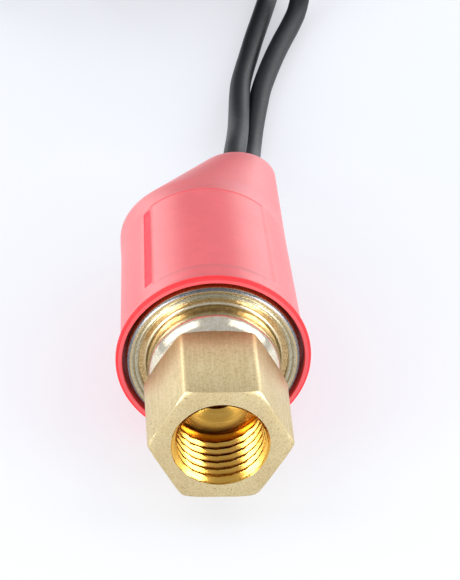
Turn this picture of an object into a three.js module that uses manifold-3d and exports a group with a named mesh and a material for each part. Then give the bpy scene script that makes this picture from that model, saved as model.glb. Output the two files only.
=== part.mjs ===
// Refrigeration pressure switch: a brass flare port brazed to a steel pressure
// cartridge with a snap disc and a normally closed contact inside, in a slip-on
// rubber boot with two leads. Millimetres. The switch lies on its side: its axis
// runs along +Y, from the port's face to the boot's end, and +Z is up. The origin
// is under the middle of the switch, on the surface that it lies on.
import * as THREE from 'three';
import { mergeVertices } from 'three/addons/utils/BufferGeometryUtils.js';
import Module from 'manifold-3d';

const wasm = await Module();
wasm.setup();

// ---- Driving dimensions -------------------------------------------------------

const roundSides = 36;                // sides of the large turned pieces
const smallSides = 16;                // sides of pins, rivets and barrels
const slidingFit = 0.05;              // a pin in its guide, on the radius
const looseFit = 0.1;                 // pieces dropped into a bore, on the radius
const leadGap = 0.3;                  // round a lead, and between cut neighbours
const contactGap = 0.03;              // between pieces that only bear on each other

// Port fitting: a 7/16-20 UNF female flare port with a 9/16 in hexagon.
const hexAcrossFlats = 14.29;
const hexLength = 11.85;
const hexCornerCut = 0.35;            // turned chamfer on the hexagon's ends
const threadMajorRadius = 5.555;
const threadMinorRadius = 4.95;
const threadLength = 7.8;
const mouthChamfer = 0.5;
const reliefRadius = 5.6;
const reliefLength = 1.4;
const seatRadius = 5.0;               // where the drill-point seat starts
const seatDepth = 1.2;
const orificeRadius = 2.6;
const spigotRadius = 4.0;
const spigotLength = 2.6;

// Steel pressure cup and its crimped shell.
const brazeThickness = 0.3;
const brazeWidth = 2.2;
const steelWall = 1.2;
const neckRadius = 7.6;
const neckLength = 4.45;
const neckShoulder = 2.5;
const flangeThickness = 0.9;
const valleyWidth = 0.95;             // flange left bare between the neck and the rolled rim
const shellWall = 0.5;
const beadRadius = 10.0;              // the rolled rim over the cup's flange
const beadStep = 0.5;                 // from the rim down to the shell's barrel
const rimGap = 0.2;                   // round the flange, inside the rolled rim

// Sensing stack.
const gasketThickness = 0.5;
const gasketStep = 0.5;               // the gasket's bore outside the cup's
const diaphragmThickness = 0.2;
const seatRingLength = 3.2;
const discStepDepth = 2.5;
const discRadius = 7.0;
const discPlay = 0.3;                 // round the disc
const discLedge = 0.4;                // the ledge that carries its edge
const discThickness = 0.3;
const discDome = 0.5;
const pistonPlay = 0.2;
const pistonThickness = 1.0;
const pistonBossRadius = 1.8;

// Switch base and contacts.
const baseLength = 5.6;
const baseShoulderLength = 4.8;
const shoulderWidth = 1.0;            // the shell's rear edge, turned in over the base
const recessMargin = 0.4;             // the base's recess, round the rivet heads
const recessDepth = 1.0;
const pinRadius = 1.0;
const pinTipRadius = 0.25;
const pinTipLength = 0.5;
const contactOffset = 4.5;            // contact and arm pivot, either side of the axis
const rivetRadius = 0.9;
const rivetHeadRadius = 1.5;
const rivetHeadThickness = 0.5;
const terminalThickness = 0.5;
const contactRadius = 1.4;
const contactThickness = 0.6;
const armThickness = 0.3;
const armWidth = 3.0;
const armOverhang = 1.6;              // past the pivot and past the contact
const armPlay = 0.2;                  // free height of the arm at its pivot
const coverStep = 0.2;                // the cover's edge outside the base's boss
const coverWall = 0.8;
const coverLength = 5.0;
const bladeWidth = 3.2;
const bladeHeight = 3.1;              // a terminal blade's inner face from the axis
const bladeLength = 9.0;
const barrelRadius = 1.3;
const barrelBore = 0.75;
const barrelLength = 5.5;
const barrelLap = 1.0;
const commonBarrelX = -2.0;
const fixedBarrelX = 4.4;

// Boot.
const bootLipWall = 0.7;
const bootLipLength = 0.7;
const bootMouthGap = 0.5;             // between the rolled rim and the boot's mouth
const bootMouthSetback = 0.3;         // the boot's mouth behind the shell's front
const bootFrontWall = 0.6;            // the boot's outside from the rolled rim's, at the front
const bootRearWall = 0.45;            // and from the shell's barrel, at the shoulder
const bootBandEnd = 18.4;             // from the port's face, as are the next three
const bootShoulder = 37.6;
const bootLeftShoulder = 42.2;
const bootEnd = 56.0;
const snoutLeft = 0.0;                // the snout's flat oval end, from the axis
const snoutRight = 9.3;
const snoutHalfHeight = 3.9;
const bootWall = 1.5;
const bootEndWall = 3.6;
const endRound = 0.7;
const pocketGap = 0.6;                // round the contact cover
const sealLength = 4.0;

// Leads: single-core leads, each ending in an insulated push-on terminal.
const leadRadius = 1.4;
const leadSides = 8;
const surfaceGap = 0.1;               // a lead's tube above the surface that it lies on
const conductorRadius = 0.6;
const conductorBare = 0.5;
const coilMeanRadius = 14.8;
const coilTurns = 8.25;               // wound inwards in one layer, outwards in the next
const coilLayers = 4;
const coilCentreX = -1.9;
const coilCentreY = 142.3;            // from the port's face
const coilSides = 36;
const tieThickness = 0.8;
const tieWidth = 4.0;
const sleeveWidth = 9.0;
const sleeveHeight = 3.8;
const sleeveFlatLength = 12.0;
const sleeveBarrelLength = 8.5;
const sleeveBarrelRadius = 2.2;
const sleeveWall = 0.5;
const leadInSleeve = 4.0;
const tabWidth = 6.3;
const tabThickness = 0.8;
const receptacleWall = 0.4;
const receptacleLength = 8.0;

// ---- Radii that follow from them ----------------------------------------------

const shellRadius = beadRadius - beadStep;
const flangeRadius = beadRadius - shellWall - rimGap;
const lipInnerRadius = neckRadius + valleyWidth;
const gasketInnerRadius = neckRadius - steelWall + gasketStep;
const seatRingBore = discRadius + discPlay;
const discStepRadius = discRadius - discLedge;
const pistonRadius = discStepRadius - pistonPlay;
const baseBossRadius = shellRadius - shellWall - shoulderWidth;
const recessRadius = contactOffset + rivetHeadRadius + recessMargin;
const coverRadius = baseBossRadius + coverStep;
const bootMouthRadius = beadRadius + bootMouthGap;
const bootLipRadius = bootMouthRadius + bootLipWall;
const bootFrontRadius = beadRadius + bootFrontWall;
const bootRearRadius = shellRadius + bootRearWall;
const pocketRadius = coverRadius + pocketGap;

// ---- Places along the axis ----------------------------------------------------

const cupFront = hexLength + brazeThickness;
const flangeFront = cupFront + neckLength;
const shellFront = flangeFront - shellWall;
const flangeBack = flangeFront + flangeThickness;
const diaphragmFront = flangeBack + gasketThickness;
const stackFront = diaphragmFront + diaphragmThickness;
const baseFront = stackFront + seatRingLength;
const shellStep = baseFront + baseShoulderLength;
const shellBack = shellStep + shellWall;
const baseBack = baseFront + baseLength;
const recessBack = baseFront + recessDepth;
const discRimBack = stackFront + discStepDepth;
const discRimFront = discRimBack - discThickness;
const terminalBack = baseBack + terminalThickness;
const fixedFace = terminalBack + contactThickness;
const armFront = fixedFace + contactGap + contactThickness;
const armBack = armFront + armThickness;
const coverBack = baseBack + coverLength;
const bladeEnd = baseBack + bladeLength;
const barrelStart = bladeEnd - barrelLap;
const barrelEnd = barrelStart + barrelLength;
const conductorStart = bladeEnd + leadGap;
const conductorEnd = barrelEnd + conductorBare;
const leadStart = conductorEnd + leadGap;
const bootMouth = shellFront + bootMouthSetback;
const tableZ = -bootLipRadius;
const leadZ = tableZ + leadRadius + surfaceGap;
const sleeveAxisZ = tableZ + sleeveBarrelRadius;
const upperSleeveZ = sleeveAxisZ + 2 * sleeveBarrelRadius + 0.2;
const coilHeight = 2 * leadRadius * coilLayers;
const coilWidth = 2 * leadRadius * (coilTurns / coilLayers + 1);
const coilOuterRadius = coilMeanRadius + coilWidth / 2;
const coilInnerRadius = coilMeanRadius - coilWidth / 2;
const coilAZ = tableZ + tieThickness + leadGap;
const coilBZ = coilAZ + coilHeight + leadGap;
const coilEntry = leadRadius;         // a lead goes into its coil's lowest layer
const coilExit = coilHeight - leadRadius;   // and leaves from the top one
const barrelZ = bladeHeight + terminalThickness / 2;

// ---- Materials ----------------------------------------------------------------

function material(color, roughness, metalness) {
  return new THREE.MeshStandardMaterial({ color, roughness, metalness });
}

const brass = material('#c8b084', 0.38, 1);
const brazing = material('#b98a4a', 0.45, 1);
const platedSteel = material('#b3a787', 0.34, 1);
const springSteel = material('#a9abac', 0.3, 1);
const silver = material('#d9d9d6', 0.25, 1);
const copper = material('#b87850', 0.4, 1);
const tinnedBrass = material('#bcbcb6', 0.35, 1);
const polyimide = material('#c0762a', 0.4, 0);
const nitrile = material('#1d1d1f', 0.7, 0);
const phenolic = material('#2b211c', 0.6, 0);
const nylon = material('#26272a', 0.55, 0);
const sealant = material('#46443f', 0.5, 0);
const redVinyl = material('#f03a3a', 0.35, 0);
const blackVinyl = material('#2d3033', 0.5, 0);
const clearNylon = material('#c9cdd0', 0.4, 0);

// ---- Solids -------------------------------------------------------------------

// A solid turned about the Y axis: points are [radius, y], anticlockwise.
function turned(points, sides, x = 0, z = 0) {
  const profile = points.map(([radius, y]) => new THREE.Vector2(radius, y));
  const [first, last] = [profile[0], profile[profile.length - 1]];
  if (first.x > 0 || last.x > 0) profile.push(first.clone());
  return new THREE.LatheGeometry(profile, sides).translate(x, 0, z);
}

// A plain or bored cylinder along Y.
function disc(radius, from, to, sides = smallSides, x = 0, z = 0) {
  return turned([[0, from], [radius, from], [radius, to], [0, to]], sides, x, z);
}

function ring(inner, outer, from, to, sides = roundSides, x = 0, z = 0) {
  return turned([[inner, from], [outer, from], [outer, to], [inner, to]], sides, x, z);
}

function block(lowX, highX, lowY, highY, lowZ, highZ) {
  return new THREE.BoxGeometry(highX - lowX, highY - lowY, highZ - lowZ)
    .translate((lowX + highX) / 2, (lowY + highY) / 2, (lowZ + highZ) / 2);
}

// Points of a quarter turn of radius r about [radius, y], from one angle to another.
function arc(centreRadius, centreY, r, fromDegrees, toDegrees, steps) {
  const points = [];
  for (let i = 0; i <= steps; i += 1) {
    const angle = THREE.MathUtils.degToRad(fromDegrees + ((toDegrees - fromDegrees) * i) / steps);
    points.push([centreRadius + r * Math.cos(angle), centreY + r * Math.sin(angle)]);
  }
  return points;
}

// A closed loft through rings of equal numbers of points, with flat ends.
function loft(rings) {
  const count = rings[0].length;
  const positions = [];
  for (const points of rings) for (const point of points) positions.push(...point);
  const centre = (points) => [0, 1, 2].map((axis) => points.reduce((sum, p) => sum + p[axis], 0) / count);
  const start = rings.length * count;
  positions.push(...centre(rings[0]), ...centre(rings[rings.length - 1]));
  const index = [];
  for (let j = 0; j < count; j += 1) {
    const k = (j + 1) % count;
    for (let i = 0; i + 1 < rings.length; i += 1) {
      const [a, b, c, d] = [i * count + j, i * count + k, (i + 1) * count + j, (i + 1) * count + k];
      index.push(a, c, b, b, c, d);
    }
    index.push(start, j, k, start + 1, start - count + k, start - count + j);
  }
  const geometry = new THREE.BufferGeometry();
  geometry.setAttribute('position', new THREE.Float32BufferAttribute(positions, 3));
  geometry.setIndex(index);
  return geometry;
}

function manifold(geometry) {
  const bare = geometry.clone();
  bare.deleteAttribute('normal');
  bare.deleteAttribute('uv');
  const merged = mergeVertices(bare);
  return new wasm.Manifold(new wasm.Mesh({
    numProp: 3,
    vertProperties: new Float32Array(merged.attributes.position.array),
    triVerts: new Uint32Array(merged.index.array),
  }));
}

function geometryOf(solid) {
  const mesh = solid.getMesh();
  const geometry = new THREE.BufferGeometry();
  geometry.setAttribute('position', new THREE.BufferAttribute(new Float32Array(mesh.vertProperties), 3));
  geometry.setIndex(new THREE.BufferAttribute(new Uint32Array(mesh.triVerts), 1));
  return geometry;
}

function join(first, ...others) {
  return geometryOf(others.reduce((solid, other) => solid.add(manifold(other)), manifold(first)));
}

function cut(first, ...others) {
  return geometryOf(others.reduce((solid, other) => solid.subtract(manifold(other)), manifold(first)));
}

function common(first, second) {
  return geometryOf(manifold(first).intersect(manifold(second)));
}

// ---- Port fitting -------------------------------------------------------------

function hexagonBar() {
  const cornerRadius = hexAcrossFlats / Math.sqrt(3);
  const corners = [...Array(6).keys()].map((i) => new THREE.Vector2(
    cornerRadius * Math.cos((i * Math.PI) / 3),
    cornerRadius * Math.sin((i * Math.PI) / 3),
  ));
  return new THREE.ExtrudeGeometry(new THREE.Shape(corners), { depth: hexLength, bevelEnabled: false })
    .rotateX(Math.PI / 2)
    .translate(0, hexLength, 0);
}

function portFitting() {
  const cornerRadius = hexAcrossFlats / Math.sqrt(3);
  const chamfered = common(hexagonBar(), turned([
    [0, 0],
    [cornerRadius - 2 * hexCornerCut, 0],
    [cornerRadius + hexCornerCut, hexCornerCut * 2],
    [cornerRadius + hexCornerCut, hexLength - hexCornerCut * 2],
    [cornerRadius - 2 * hexCornerCut, hexLength],
    [0, hexLength],
  ], roundSides));
  const spigot = disc(spigotRadius, hexLength - steelWall, hexLength + spigotLength, roundSides);
  const seatFront = threadLength + reliefLength;
  const bore = turned([
    [0, -1],
    [threadMinorRadius + mouthChamfer + 1, -1],
    [threadMinorRadius + mouthChamfer, 0],
    [threadMinorRadius, mouthChamfer],
    [threadMinorRadius, threadLength],
    [reliefRadius, threadLength],
    [reliefRadius, seatFront],
    [seatRadius, seatFront],
    [orificeRadius, seatFront + seatDepth],
    [orificeRadius, hexLength + spigotLength + 1],
    [0, hexLength + spigotLength + 1],
  ], roundSides);
  return cut(join(chamfered, spigot), bore);
}

function brazeRing() {
  const outer = spigotRadius + looseFit + brazeWidth;
  return ring(spigotRadius + looseFit, outer, hexLength, cupFront);
}

// ---- Pressure cartridge -------------------------------------------------------

function pressureCup() {
  const hole = spigotRadius + looseFit;
  const innerRadius = neckRadius - steelWall;
  const innerRound = neckShoulder - steelWall;
  return turned([
    [hole, cupFront],
    ...arc(neckRadius - neckShoulder, cupFront + neckShoulder, neckShoulder, -90, 0, 5),
    [neckRadius, flangeFront],
    [flangeRadius, flangeFront],
    [flangeRadius, flangeBack],
    [innerRadius, flangeBack],
    ...arc(innerRadius - innerRound, cupFront + neckShoulder, innerRound, 0, -90, 4),
    [hole, cupFront + steelWall],
  ], roundSides);
}

function crimpShell() {
  const inside = beadRadius - shellWall;
  return turned([
    [lipInnerRadius, shellFront],
    [beadRadius - shellWall, shellFront],
    ...arc(beadRadius - shellWall, shellFront + shellWall, shellWall, -60, 0, 3),
    [beadRadius, stackFront],
    [shellRadius, stackFront + shellWall],
    [shellRadius, shellBack],
    [baseBossRadius + looseFit, shellBack],
    [baseBossRadius + looseFit, shellStep],
    [shellRadius - shellWall, shellStep],
    [shellRadius - shellWall, stackFront],
    [inside, stackFront],
    [inside, flangeFront],
    [lipInnerRadius, flangeFront],
  ], roundSides);
}

function pressureGasket() {
  return ring(gasketInnerRadius, flangeRadius, flangeBack, diaphragmFront);
}

function diaphragm() {
  return disc(flangeRadius, diaphragmFront, stackFront, roundSides);
}

function discSeat() {
  const outer = shellRadius - shellWall - looseFit;
  return turned([
    [seatRingBore, stackFront],
    [outer, stackFront],
    [outer, baseFront],
    [discStepRadius, baseFront],
    [discStepRadius, discRimBack],
    [seatRingBore, discRimBack],
  ], roundSides);
}

function pressurePiston() {
  const front = stackFront + contactGap;
  return turned([
    [0, front],
    [pistonRadius, front],
    [pistonRadius, front + pistonThickness],
    [pistonBossRadius, front + pistonThickness],
    [pistonBossRadius, discRimFront - discDome - contactGap],
    [0, discRimFront - discDome - contactGap],
  ], roundSides);
}

// The disc bulges towards the pressure, so its middle lies in front of its rim.
function snapDisc() {
  const steps = 4;
  const face = (y, i) => [(discRadius * i) / steps, y - discDome * (1 - (i / steps) ** 2)];
  const front = [...Array(steps + 1).keys()].map((i) => face(discRimFront, i));
  const back = [...Array(steps + 1).keys()].map((i) => face(discRimBack, steps - i));
  return turned([...front, ...back], roundSides);
}

// ---- Switch base and contacts -------------------------------------------------

function transferPin() {
  const front = discRimBack - discDome + contactGap;
  const back = armFront - slidingFit;
  return turned([
    [0, front],
    [pinRadius, front],
    [pinRadius, back - pinTipLength],
    [pinTipRadius, back],
    [0, back],
  ], smallSides);
}

function switchBase() {
  const outer = shellRadius - shellWall - looseFit;
  const body = turned([
    [pinRadius + slidingFit, recessBack],
    [recessRadius, recessBack],
    [recessRadius, baseFront],
    [outer, baseFront],
    [outer, shellStep],
    [baseBossRadius, shellStep],
    [baseBossRadius, baseBack],
    [pinRadius + slidingFit, baseBack],
  ], roundSides);
  const rivetHole = (x) => disc(rivetRadius + looseFit, recessBack - 1, baseBack + 1, smallSides, x);
  return cut(body, rivetHole(-contactOffset), rivetHole(contactOffset));
}

// A strip bent from a foot under the rivet to a blade with a crimp barrel.
// side is +1 or -1, for the blade above or below the axis.
function terminal(footX, barrelX, side) {
  const halfBlade = bladeWidth / 2;
  const outside = bladeHeight + terminalThickness;
  const span = (low, high) => (side > 0 ? [low, high] : [-high, -low]);
  const foot = block(footX - halfBlade, footX + halfBlade, baseBack, terminalBack, ...span(-halfBlade, outside));
  const lowX = Math.min(footX, barrelX) - halfBlade;
  const highX = Math.max(footX, barrelX) + halfBlade;
  const bridge = block(lowX, highX, baseBack, terminalBack, ...span(bladeHeight - halfBlade / 2, outside));
  const blade = block(barrelX - halfBlade, barrelX + halfBlade, baseBack, bladeEnd, ...span(bladeHeight, outside));
  const barrel = ring(barrelBore, barrelRadius, barrelStart, barrelEnd, smallSides, barrelX, side * barrelZ);
  const rivetHole = disc(rivetRadius + looseFit, baseBack - 1, terminalBack + 1, smallSides, footX);
  return cut(join(foot, bridge, blade, barrel), rivetHole);
}

// A rivet through the base: its front head is sunk in the base's recess.
function rivet(x, rearHeadRadius, rearHeadFront, rearHeadBack) {
  return turned([
    [0, recessBack - rivetHeadThickness],
    [rivetHeadRadius, recessBack - rivetHeadThickness],
    [rivetHeadRadius, recessBack],
    [rivetRadius, recessBack],
    [rivetRadius, rearHeadFront],
    [rearHeadRadius, rearHeadFront],
    [rearHeadRadius, rearHeadBack],
    [0, rearHeadBack],
  ], smallSides, x);
}

function armSpacer() {
  const inner = rivetRadius + looseFit;
  return ring(inner, rivetHeadRadius, terminalBack, armFront - armPlay, smallSides, -contactOffset);
}

function contactArm() {
  const reach = contactOffset + armOverhang;
  const strip = block(-reach, reach, armFront, armBack, -armWidth / 2, armWidth / 2);
  const hole = disc(rivetRadius + leadGap, armFront - 1, armBack + 1, smallSides, -contactOffset);
  return cut(strip, hole);
}

function contactCover() {
  const shell = turned([
    [coverRadius - coverWall, baseBack],
    [coverRadius, baseBack],
    [coverRadius, coverBack],
    [0, coverBack],
    [0, coverBack - coverWall],
    [coverRadius - coverWall, coverBack - coverWall],
  ], roundSides);
  const slot = (x, side) => {
    const half = bladeWidth / 2 + leadGap;
    const halfThick = terminalThickness / 2 + leadGap;
    const z = side * barrelZ;
    return block(x - half, x + half, coverBack - 2 * coverWall, coverBack + 1, z - halfThick, z + halfThick);
  };
  return cut(shell, slot(commonBarrelX, 1), slot(fixedBarrelX, -1));
}

function conductor(x, z) {
  return disc(conductorRadius, conductorStart, conductorEnd, smallSides, x, z);
}

// ---- Leads --------------------------------------------------------------------

// Each route runs from its crimp barrel through the boot's end, down to the
// surface and round to the coil. Points are x, y from the port's face, and z from
// the switch's axis.
const leadARoute = [
  [commonBarrelX, leadStart, barrelZ], [-1.4, 44, 3.2], [1.1, 48, 2.4], [3.2, 52, 1.5],
  [4.2, 56, 1.1], [4.8, 60, 0.8], [5.25, 64, -0.3], [5.75, 69, -2.2], [6.2, 74, -4.2],
  [6.62, 79, -6.0], [7.0, 84, -7.2], [7.45, 90, -8.0], [7.85, 94, -8.6], [8.45, 98, -9.2],
  [9.4, 103, -9.7], [10.45, 108, leadZ], [11.6, 113, leadZ], [12.75, 118, leadZ],
  [14.1, 124, leadZ], [15.2, 128, leadZ + 0.3], [15.75, 131.9, coilAZ + coilEntry],
];
const leadBRoute = [
  [fixedBarrelX, leadStart, -barrelZ], [4.5, 44, -3.3], [4.9, 48, -2.8], [5.6, 52, -2.0],
  [6.1, 56, -1.7], [6.6, 60, -2.0], [6.95, 64, -3.2], [7.33, 68, -5.0], [7.7, 72, -6.9],
  [8.08, 76, -8.5], [8.5, 80, -9.5], [9.0, 84, leadZ], [9.95, 90, leadZ], [10.65, 94, leadZ],
  [11.6, 98, leadZ], [12.95, 103, leadZ], [14.5, 108, leadZ], [16.2, 113, leadZ + 0.1],
  [17.3, 116.5, -9.1], [17.9, 119.5, -7.5], [18.0, 122.5, -5.0], [17.6, 125.5, -2.1],
  [16.8, 128.5, 0.7], [15.9, 131.9, coilBZ + coilEntry],
];
const leadATail = [
  [-12.3, 160, coilAZ + coilExit], [-16, 159.8, -1.4], [-19.9, 158.4, -3.6],
  [-23, 155.9, -6.0], [-25.2, 152.1, -7.9], [-25.9, 148.2, -8.8], [-25.9, 145.4, sleeveAxisZ],
  [-25.9, 141.5, sleeveAxisZ],
];
const leadBTail = [
  [-12.3, 160, coilBZ + coilExit], [-16, 159.8, 9.8], [-19.9, 158.4, 6.6],
  [-23, 155.9, 2.9], [-25.2, 152.1, -1.0], [-25.9, 148.2, -3.7], [-25.9, 145.4, upperSleeveZ],
  [-25.9, 141.5, upperSleeveZ],
];

function tube(route, radius, steps) {
  const section = [...Array(leadSides).keys()].map((i) => new THREE.Vector2(
    radius * Math.cos((2 * Math.PI * i) / leadSides),
    radius * Math.sin((2 * Math.PI * i) / leadSides),
  ));
  const extrudePath = new THREE.CatmullRomCurve3(route.map((point) => new THREE.Vector3(...point)));
  return new THREE.ExtrudeGeometry(new THREE.Shape(section), { steps, extrudePath, bevelEnabled: false });
}

const leadSteps = 30;
const tailSteps = 10;

// A coil's outer shape: a square-sectioned ring lying flat.
function coilRing(bottom) {
  return ring(coilInnerRadius, coilOuterRadius, bottom, bottom + coilHeight, coilSides)
    .rotateX(Math.PI / 2)
    .translate(coilCentreX, coilCentreY, 0);
}

// A strap round both coils' section, on a radius at the given angle.
function coilTie(degrees) {
  const inside = [coilInnerRadius - 2 * leadGap, coilOuterRadius + leadGap];
  const bottom = coilAZ - leadGap;
  const top = coilBZ + coilHeight + leadGap;
  const half = tieWidth / 2;
  const outer = block(inside[0] - tieThickness, inside[1] + tieThickness, -half, half,
    bottom - tieThickness, top + tieThickness);
  const window = block(inside[0], inside[1], -tieWidth, tieWidth, bottom, top);
  return cut(outer, window)
    .rotateZ(THREE.MathUtils.degToRad(degrees))
    .translate(coilCentreX, coilCentreY, 0);
}

// ---- Push-on terminals --------------------------------------------------------

// Both point towards -Y and lie flat, one on the other, with the leads coming in from +Y.
function sleeve(tail) {
  const [x, y, axis] = tail[tail.length - 1];
  const bottom = axis - sleeveBarrelRadius;
  const back = y + leadInSleeve;
  const joint = back - sleeveBarrelLength;
  const mouth = joint - sleeveFlatLength;
  const z = bottom + sleeveHeight / 2;
  const half = sleeveWidth / 2;
  const flat = block(x - half, x + half, mouth, joint, bottom, bottom + sleeveHeight);
  const barrel = disc(sleeveBarrelRadius, joint - 1, back, smallSides, x, axis);
  const hollow = block(x - half + sleeveWall, x + half - sleeveWall, mouth - 1, joint - sleeveWall,
    z - sleeveHeight / 2 + sleeveWall, z + sleeveHeight / 2 - sleeveWall);
  const bore = disc(leadRadius + leadGap, joint - 2, back + 1, smallSides, x, axis);
  return cut(join(flat, barrel), hollow, bore);
}

function receptacle(tail) {
  const [x, y, axis] = tail[tail.length - 1];
  const joint = y + leadInSleeve - sleeveBarrelLength;
  const back = joint - 2 * sleeveWall;
  const mouth = back - receptacleLength;
  const half = tabWidth / 2 + looseFit + receptacleWall;
  const low = axis - sleeveBarrelRadius + sleeveWall + leadGap;
  const high = low + tabThickness + 2 * (looseFit + receptacleWall);
  const shell = block(x - half, x + half, mouth, back, low, high);
  const slot = block(x - half + receptacleWall, x + half - receptacleWall, mouth - 1, back + 1,
    low + receptacleWall, high - receptacleWall);
  const barrel = disc(conductorRadius, back - 2, y - leadGap, smallSides, x, axis);
  return join(cut(shell, slot), barrel);
}

// ---- Boot ---------------------------------------------------------------------

// The boot's outline at a place along the axis, drawn in by a wall thickness:
// the left, right and half height of its oval section.
function bootSection(y, wall) {
  const along = (from, to) => THREE.MathUtils.clamp((y - from) / (to - from), 0, 1);
  const taper = along(bootBandEnd, bootShoulder);
  const radius = THREE.MathUtils.lerp(bootFrontRadius, bootRearRadius, taper);
  const snout = along(bootShoulder, bootEnd);
  return {
    left: THREE.MathUtils.lerp(-radius, snoutLeft, along(bootLeftShoulder, bootEnd)) + wall,
    right: THREE.MathUtils.lerp(radius, snoutRight, snout) - wall,
    halfHeight: THREE.MathUtils.lerp(radius, snoutHalfHeight, snout) - wall,
  };
}

function oval(y, { left, right, halfHeight }) {
  return [...Array(roundSides).keys()].map((i) => {
    const angle = (2 * Math.PI * i) / roundSides;
    const x = (left + right) / 2 + ((right - left) / 2) * Math.cos(angle);
    return [x, y, halfHeight * Math.sin(angle)];
  });
}

function circle(y, radius) {
  return oval(y, { left: -radius, right: radius, halfHeight: radius });
}

function boot() {
  const lipEnd = bootMouth + bootLipLength;
  const outer = loft([
    circle(bootMouth, bootLipRadius),
    circle(lipEnd, bootLipRadius),
    circle(bootBandEnd, bootFrontRadius),
    oval(bootShoulder, bootSection(bootShoulder, 0)),
    ...[40, bootLeftShoulder, 44, 47, 50, 53].map((y) => oval(y, bootSection(y, 0))),
    oval(bootEnd - endRound, bootSection(bootEnd - endRound, 0)),
    oval(bootEnd, bootSection(bootEnd, endRound)),
  ]);
  const pocketEnd = bootShoulder;
  const cavityEnd = bootEnd - bootEndWall;
  const cavity = loft([
    circle(bootMouth - 1, bootMouthRadius),
    circle(stackFront + shellWall, bootMouthRadius),
    circle(stackFront + shellWall, shellRadius + looseFit),
    circle(shellBack + leadGap, shellRadius + looseFit),
    circle(shellBack + leadGap, pocketRadius),
    circle(pocketEnd, bootRearRadius - bootWall),
    ...[40, bootLeftShoulder, 44, 47, 50, cavityEnd].map((y) => oval(y, bootSection(y, bootWall))),
  ]);
  const reach = leadRadius + leadGap;
  return cut(outer, cavity, tube(leadARoute, reach, leadSteps), tube(leadBRoute, reach, leadSteps));
}

function leadSeal() {
  const back = bootEnd - bootEndWall - leadGap;
  const front = back - sealLength;
  const wall = bootWall + leadGap;
  const plug = loft([front, (front + back) / 2, back].map((y) => oval(y, bootSection(y, wall))));
  const reach = leadRadius + leadGap;
  return cut(plug, tube(leadARoute, reach, leadSteps), tube(leadBRoute, reach, leadSteps));
}

// ---- Assembly -----------------------------------------------------------------

const assembly = new THREE.Group();
assembly.position.set(0, -bootEnd / 2, bootLipRadius);

function add(name, geometry, finish) {
  const mesh = new THREE.Mesh(geometry, finish);
  mesh.name = name;
  assembly.add(mesh);
}

const rivetBack = armBack + armPlay;

add('port_fitting', portFitting(), brass);
add('braze_ring', brazeRing(), brazing);
add('pressure_cup', pressureCup(), platedSteel);
add('crimp_shell', crimpShell(), platedSteel);
add('pressure_gasket', pressureGasket(), nitrile);
add('diaphragm', diaphragm(), polyimide);
add('disc_seat', discSeat(), platedSteel);
add('pressure_piston', pressurePiston(), springSteel);
add('snap_disc', snapDisc(), springSteel);
add('transfer_pin', transferPin(), phenolic);
add('switch_base', switchBase(), phenolic);
add('common_terminal', terminal(-contactOffset, commonBarrelX, 1), tinnedBrass);
add('fixed_terminal', terminal(contactOffset, fixedBarrelX, -1), tinnedBrass);
add('common_rivet', rivet(-contactOffset, rivetHeadRadius, rivetBack, rivetBack + rivetHeadThickness), brass);
add('arm_spacer', armSpacer(), brass);
add('fixed_contact', rivet(contactOffset, contactRadius, terminalBack, fixedFace), silver);
add('contact_arm', contactArm(), copper);
add('moving_contact', disc(contactRadius, fixedFace + contactGap, armFront, smallSides, contactOffset), silver);
add('contact_cover', contactCover(), nylon);
add('conductor_a', conductor(commonBarrelX, barrelZ), copper);
add('conductor_b', conductor(fixedBarrelX, -barrelZ), copper);
add('lead_seal', leadSeal(), sealant);
add('boot', boot(), redVinyl);
add('lead_a', tube(leadARoute, leadRadius, leadSteps), blackVinyl);
add('lead_b', tube(leadBRoute, leadRadius, leadSteps), blackVinyl);
add('lead_a_coil', coilRing(coilAZ), blackVinyl);
add('lead_b_coil', coilRing(coilBZ), blackVinyl);
add('lead_a_tail', tube(leadATail, leadRadius, tailSteps), blackVinyl);
add('lead_b_tail', tube(leadBTail, leadRadius, tailSteps), blackVinyl);
add('coil_tie_front', coilTie(-120), nylon);
add('coil_tie_rear', coilTie(45), nylon);
add('receptacle_a', receptacle(leadATail), tinnedBrass);
add('receptacle_b', receptacle(leadBTail), tinnedBrass);
add('sleeve_a', sleeve(leadATail), clearNylon);
add('sleeve_b', sleeve(leadBTail), clearNylon);

export default assembly;
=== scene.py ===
"""A refrigeration pressure switch lying on its side: brass flare port, plated steel
cartridge, soft red boot and two black leads. Metres; places come from the frame."""
import bpy
import math
from mathutils import Matrix, Vector


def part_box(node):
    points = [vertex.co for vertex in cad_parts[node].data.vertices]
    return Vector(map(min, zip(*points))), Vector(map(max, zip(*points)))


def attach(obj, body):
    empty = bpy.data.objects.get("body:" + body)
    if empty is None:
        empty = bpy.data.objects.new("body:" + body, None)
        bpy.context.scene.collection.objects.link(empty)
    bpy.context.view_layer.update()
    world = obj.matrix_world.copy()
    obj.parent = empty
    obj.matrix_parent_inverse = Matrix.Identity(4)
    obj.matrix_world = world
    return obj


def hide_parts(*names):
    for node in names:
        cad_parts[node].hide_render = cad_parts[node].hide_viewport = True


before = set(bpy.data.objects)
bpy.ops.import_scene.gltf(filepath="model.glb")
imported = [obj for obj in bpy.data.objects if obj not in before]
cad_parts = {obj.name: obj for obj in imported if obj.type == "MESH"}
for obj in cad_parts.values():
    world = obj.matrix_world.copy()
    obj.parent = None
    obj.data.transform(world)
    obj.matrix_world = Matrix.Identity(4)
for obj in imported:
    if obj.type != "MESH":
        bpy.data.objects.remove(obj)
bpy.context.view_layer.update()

MM = 0.001
FULL_TURN = 2 * math.pi

# ---- Places, from the frame --------------------------------------------------

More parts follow.
